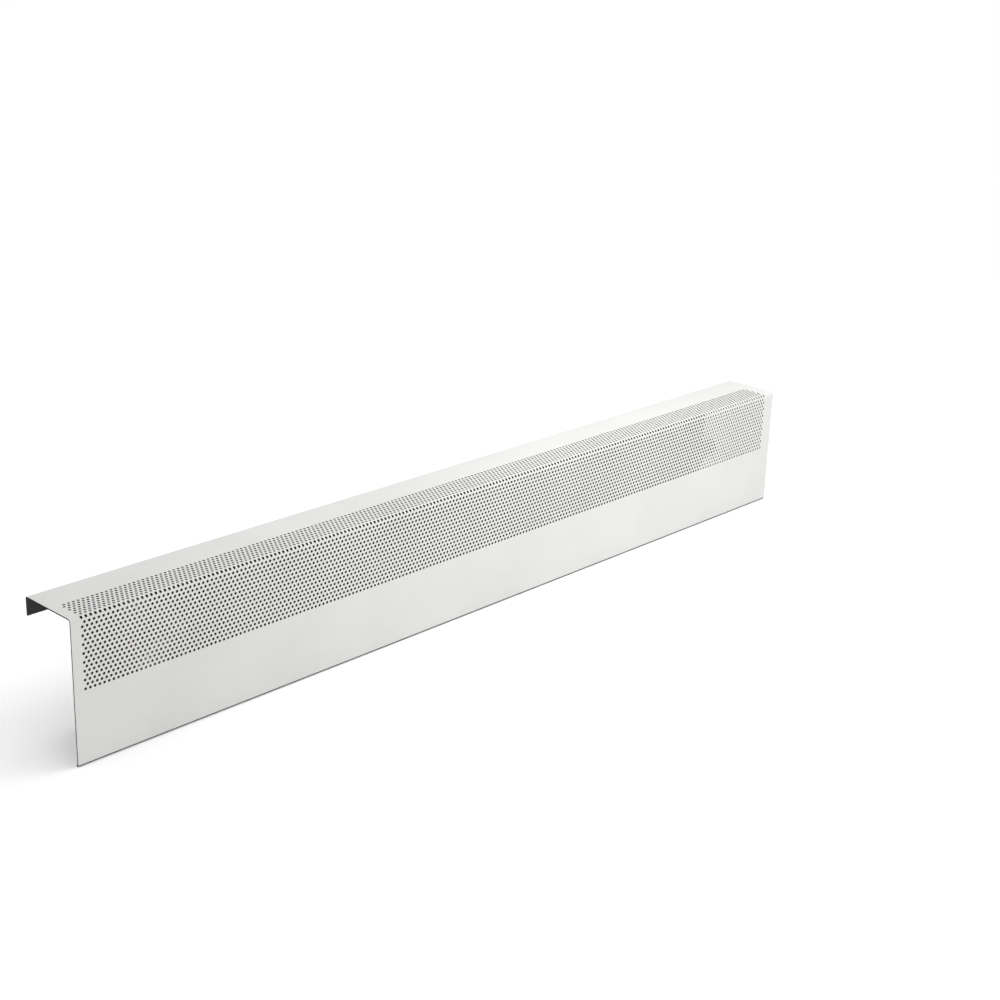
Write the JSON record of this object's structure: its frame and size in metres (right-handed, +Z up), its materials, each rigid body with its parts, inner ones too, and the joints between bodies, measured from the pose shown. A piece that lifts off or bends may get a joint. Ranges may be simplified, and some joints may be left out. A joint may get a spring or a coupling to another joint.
{
  "type": "baseboard heater",
  "caption": "Hydronic baseboard heater with a perforated slip-on steel cover over a finned copper element on a bracketed wall plate.",
  "frame": {"origin": "middle of the rear face of the back plate's upper wall rib, on the wall plane", "axes": "+X along the heater to its socket end, +Y into the wall, +Z up"},
  "size_m": [1.2192, 0.082, 0.168],
  "materials": {
    "cover_paint": "off-white satin powder coat",
    "plate_steel": "matt black enamel",
    "bracket_steel": "zinc plated",
    "rivet_steel": "zinc plated",
    "copper": "drawn copper, tarnished",
    "fin_aluminium": "mill finish, dulled",
    "cradle_plastic": "moulded",
    "bumper_rubber": "matt"
  },
  "bodies": {
    "wall_unit": {"back_plate": "plate_steel", "bracket_1": "bracket_steel", "bracket_2": "bracket_steel", "bracket_3": "bracket_steel", "bracket_4": "bracket_steel", "cover_bumper_1": "bumper_rubber", "cover_bumper_2": "bumper_rubber", "cover_bumper_3": "bumper_rubber", "cover_bumper_4": "bumper_rubber", "rivet_1_upper": "rivet_steel", "rivet_1_lower": "rivet_steel", "rivet_2_upper": "rivet_steel", "rivet_2_lower": "rivet_steel", "rivet_3_upper": "rivet_steel", "rivet_3_lower": "rivet_steel", "rivet_4_upper": "rivet_steel", "rivet_4_lower": "rivet_steel"},
    "cover": {"cover_panel": "cover_paint"},
    "element": {"element_tube": "copper", "fin_pack_left": "fin_aluminium", "fin_pack_middle": "fin_aluminium", "fin_pack_right": "fin_aluminium", "cradle_1": "cradle_plastic", "cradle_2": "cradle_plastic", "cradle_3": "cradle_plastic", "cradle_4": "cradle_plastic"}
  },
  "joints": [
    {"name": "cover_lift", "type": "slide", "parent": "wall_unit", "child": "cover", "axis": [0, 0, 1], "range_m": [0, 0.03]},
    {"name": "element_expansion", "type": "slide", "parent": "wall_unit", "child": "element", "axis": [1, 0, 0], "range_m": [-0.005, 0.005]}
  ]
}
